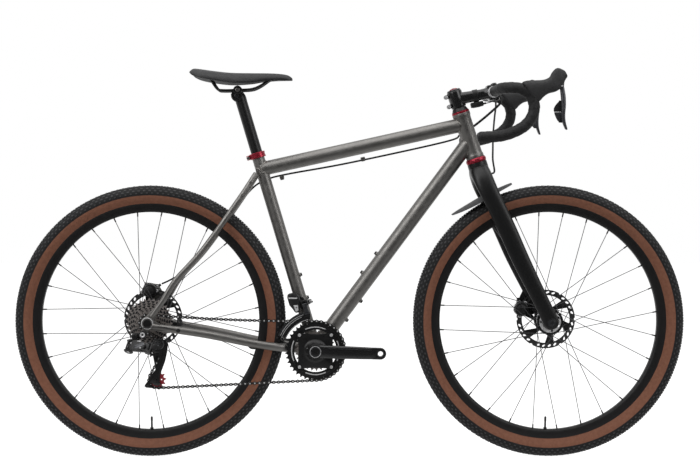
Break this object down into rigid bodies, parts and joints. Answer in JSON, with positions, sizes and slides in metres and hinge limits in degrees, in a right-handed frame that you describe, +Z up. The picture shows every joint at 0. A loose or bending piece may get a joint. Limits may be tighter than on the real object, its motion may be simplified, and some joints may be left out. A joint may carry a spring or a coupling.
{
  "type": "cyclocross bicycle",
  "caption": "Drop-bar cyclocross bicycle with a welded metal frame, a straight carbon fork, disc brakes, wide tan-wall tyres and a double-ring derailleur drivetrain.",
  "frame": {"origin": "on the ground plane, midway between the wheel axles, in the bicycle's middle plane", "axes": "+X forward, +Y to the rider's left, +Z up; the drive side faces -Y"},
  "size_m": [1.8028, 0.4762, 1.0435],
  "materials": {
    "titanium": "satin bare titanium",
    "carbon": "clear-coated black carbon",
    "black_metal": "black anodised",
    "grey_metal": "dark grey anodised",
    "silver": "satin silver",
    "steel": "bare steel",
    "red": "red anodised",
    "tyre": "matt black tread with tan sidewalls",
    "rubber": "matt black",
    "saddle": "smooth black cover",
    "plastic": "matt black"
  },
  "bodies": {
    "frame": {"frame": "titanium", "seat_collar": "red", "headset_upper_cup": "red", "headset_lower_cup": "red", "bottom_bracket_cup_right": "black_metal", "bottom_bracket_cup_left": "black_metal", "rear_thru_axle": "black_metal", "rear_caliper": "black_metal", "front_derailleur_body": "black_metal", "rear_derailleur_body": "black_metal", "chain": "steel", "rear_brake_hose": "rubber", "derailleur_wire": "rubber"},
    "steering": {"fork": "carbon", "fork_mudguard": "plastic", "headset_cover": "black_metal", "stem": "black_metal", "stem_faceplate": "silver", "top_cap": "red", "handlebar": "silver", "bar_tape_right": "rubber", "bar_tape_left": "rubber", "hood_right": "rubber", "hood_left": "rubber", "front_caliper": "black_metal", "front_thru_axle": "black_metal", "junction_box": "plastic", "front_brake_hose": "rubber"},
    "brake_right": {"brake_lever_right": "carbon"},
    "brake_left": {"brake_lever_left": "carbon"},
    "shift_right": {"shift_paddle_right": "black_metal"},
    "shift_left": {"shift_paddle_left": "black_metal"},
    "front_wheel": {"front_tyre": "tyre", "front_rim": "carbon", "front_hub": "black_metal", "front_rotor": "steel"},
    "rear_wheel": {"rear_tyre": "tyre", "rear_rim": "carbon", "rear_hub": "black_metal", "rear_rotor": "steel"},
    "freehub": {"cassette": "silver", "freehub_body": "grey_metal"},
    "crankset": {"crank_right": "black_metal", "crank_left": "black_metal", "crank_axle": "steel", "chainring_outer": "black_metal", "chainring_inner": "black_metal"},
    "seatpost": {"seatpost": "carbon", "saddle": "saddle", "saddle_rails": "carbon"},
    "rd_outer_link": {"rd_outer_link": "grey_metal"},
    "rd_inner_link": {"rd_inner_link": "black_metal"},
    "rd_knuckle": {"rd_knuckle": "black_metal"},
    "rd_cage": {"rd_cage": "black_metal"},
    "guide_pulley": {"guide_pulley": "plastic"},
    "tension_pulley": {"tension_pulley": "plastic"},
    "fd_outer_link": {"fd_outer_link": "grey_metal"},
    "fd_inner_link": {"fd_inner_link": "grey_metal"},
    "fd_cage": {"fd_cage": "silver"}
  },
  "joints": [
    {"name": "steering", "type": "hinge", "parent": "frame", "child": "steering", "pos_m": [0.34215, 0, 0.79722], "axis": [-0.3074, 0, 0.9516], "range_deg": [-65, 65], "deforming": ["rear_brake_hose"]},
    {"name": "front_wheel_spin", "type": "hinge", "parent": "steering", "child": "front_wheel", "pos_m": [0.5364, 0, 0.365], "axis": [0, 1, 0], "continuous": true},
    {"name": "rear_wheel_spin", "type": "hinge", "parent": "frame", "child": "rear_wheel", "pos_m": [-0.5364, 0, 0.365], "axis": [0, 1, 0], "continuous": true},
    {"name": "crank_spin", "type": "hinge", "parent": "frame", "child": "crankset", "pos_m": [-0.09158, 0, 0.2894], "axis": [0, 1, 0], "continuous": true, "deforming": ["chain"]},
    {"name": "freehub_spin", "type": "hinge", "parent": "frame", "child": "freehub", "pos_m": [-0.5364, 0, 0.365], "axis": [0, 1, 0], "continuous": true, "deforming": ["chain"]},
    {"name": "seatpost_slide", "type": "slide", "parent": "frame", "child": "seatpost", "axis": [-0.2874, 0, 0.9578], "range_m": [-0.1, 0.06]},
    {"name": "brake_lever_right", "type": "hinge", "parent": "steering", "child": "brake_right", "pos_m": [0.53511, -0.2145, 0.98394], "axis": [0, 1, 0], "range_deg": [0, 20], "stiffness_Nm_per_rad": 2, "springref_deg": -8.59},
    {"name": "brake_lever_left", "type": "hinge", "parent": "steering", "child": "brake_left", "pos_m": [0.53511, 0.2145, 0.98394], "axis": [0, 1, 0], "range_deg": [0, 20], "stiffness_Nm_per_rad": 2, "springref_deg": -8.59},
    {"name": "shift_paddle_right", "type": "hinge", "parent": "brake_right", "child": "shift_right", "pos_m": [0.53211, -0.2085, 0.92794], "axis": [0, 0, -1], "range_deg": [0, 8], "stiffness_Nm_per_rad": 0.2, "springref_deg": -8.59},
    {"name": "shift_paddle_left", "type": "hinge", "parent": "brake_left", "child": "shift_left", "pos_m": [0.53211, 0.2085, 0.92794], "axis": [0, 0, 1], "range_deg": [0, 8], "stiffness_Nm_per_rad": 0.2, "springref_deg": -8.59},
    {"name": "rd_outer_swing", "type": "hinge", "parent": "frame", "child": "rd_outer_link", "pos_m": [-0.58019, -0.08594, 0.30837], "axis": [0.2309, 0.5299, 0.816], "range_deg": [0, 49.4], "deforming": ["chain", "derailleur_wire"]},
    {"name": "rd_inner_swing", "type": "hinge", "parent": "frame", "child": "rd_inner_link", "pos_m": [-0.58221, -0.07406, 0.30123], "axis": [0.2309, 0.5299, 0.816], "range_deg": [0, 49.4], "deforming": ["chain", "derailleur_wire"]},
    {"name": "rd_knuckle_swing", "type": "hinge", "parent": "rd_outer_link", "child": "rd_knuckle", "pos_m": [-0.53095, -0.10464, 0.30658], "axis": [0.2309, 0.5299, 0.816], "range_deg": [-49.4, 0], "deforming": ["chain", "derailleur_wire"]},
    {"name": "rd_cage_swing", "type": "hinge", "parent": "rd_knuckle", "child": "rd_cage", "pos_m": [-0.506, -0.0645, 0.312], "axis": [0, -1, 0], "range_deg": [-6, 50], "stiffness_Nm_per_rad": 0.3, "deforming": ["chain"]},
    {"name": "guide_pulley_spin", "type": "hinge", "parent": "rd_cage", "child": "guide_pulley", "pos_m": [-0.51755, -0.0645, 0.29597], "axis": [0, 1, 0], "continuous": true, "deforming": ["chain"]},
    {"name": "tension_pulley_spin", "type": "hinge", "parent": "rd_cage", "child": "tension_pulley", "pos_m": [-0.51141, -0.0645, 0.21536], "axis": [0, 1, 0], "continuous": true, "deforming": ["chain"]},
    {"name": "fd_outer_swing", "type": "hinge", "parent": "frame", "child": "fd_outer_link", "pos_m": [-0.12037, -0.0495, 0.41412], "axis": [0.9744, 0, 0.225], "range_deg": [0, 18], "deforming": ["chain"]},
    {"name": "fd_inner_swing", "type": "hinge", "parent": "frame", "child": "fd_inner_link", "pos_m": [-0.12037, -0.0375, 0.41412], "axis": [0.9744, 0, 0.225], "range_deg": [0, 18]},
    {"name": "fd_cage_swing", "type": "hinge", "parent": "fd_outer_link", "child": "fd_cage", "pos_m": [-0.11471, -0.0535, 0.38958], "axis": [0.9744, 0, 0.225], "range_deg": [-18, 0], "deforming": ["chain"]}
  ],
  "couplings": [
    {"joint": "freehub_spin", "follows": "crank_spin", "ratio": 3.5455},
    {"joint": "guide_pulley_spin", "follows": "crank_spin", "ratio": -3.5455},
    {"joint": "tension_pulley_spin", "follows": "crank_spin", "ratio": 3.5455},
    {"joint": "rd_inner_swing", "follows": "rd_outer_swing", "ratio": 1},
    {"joint": "rd_knuckle_swing", "follows": "rd_outer_swing", "ratio": -1},
    {"joint": "fd_inner_swing", "follows": "fd_outer_swing", "ratio": 1},
    {"joint": "fd_cage_swing", "follows": "fd_outer_swing", "ratio": -1}
  ]
}
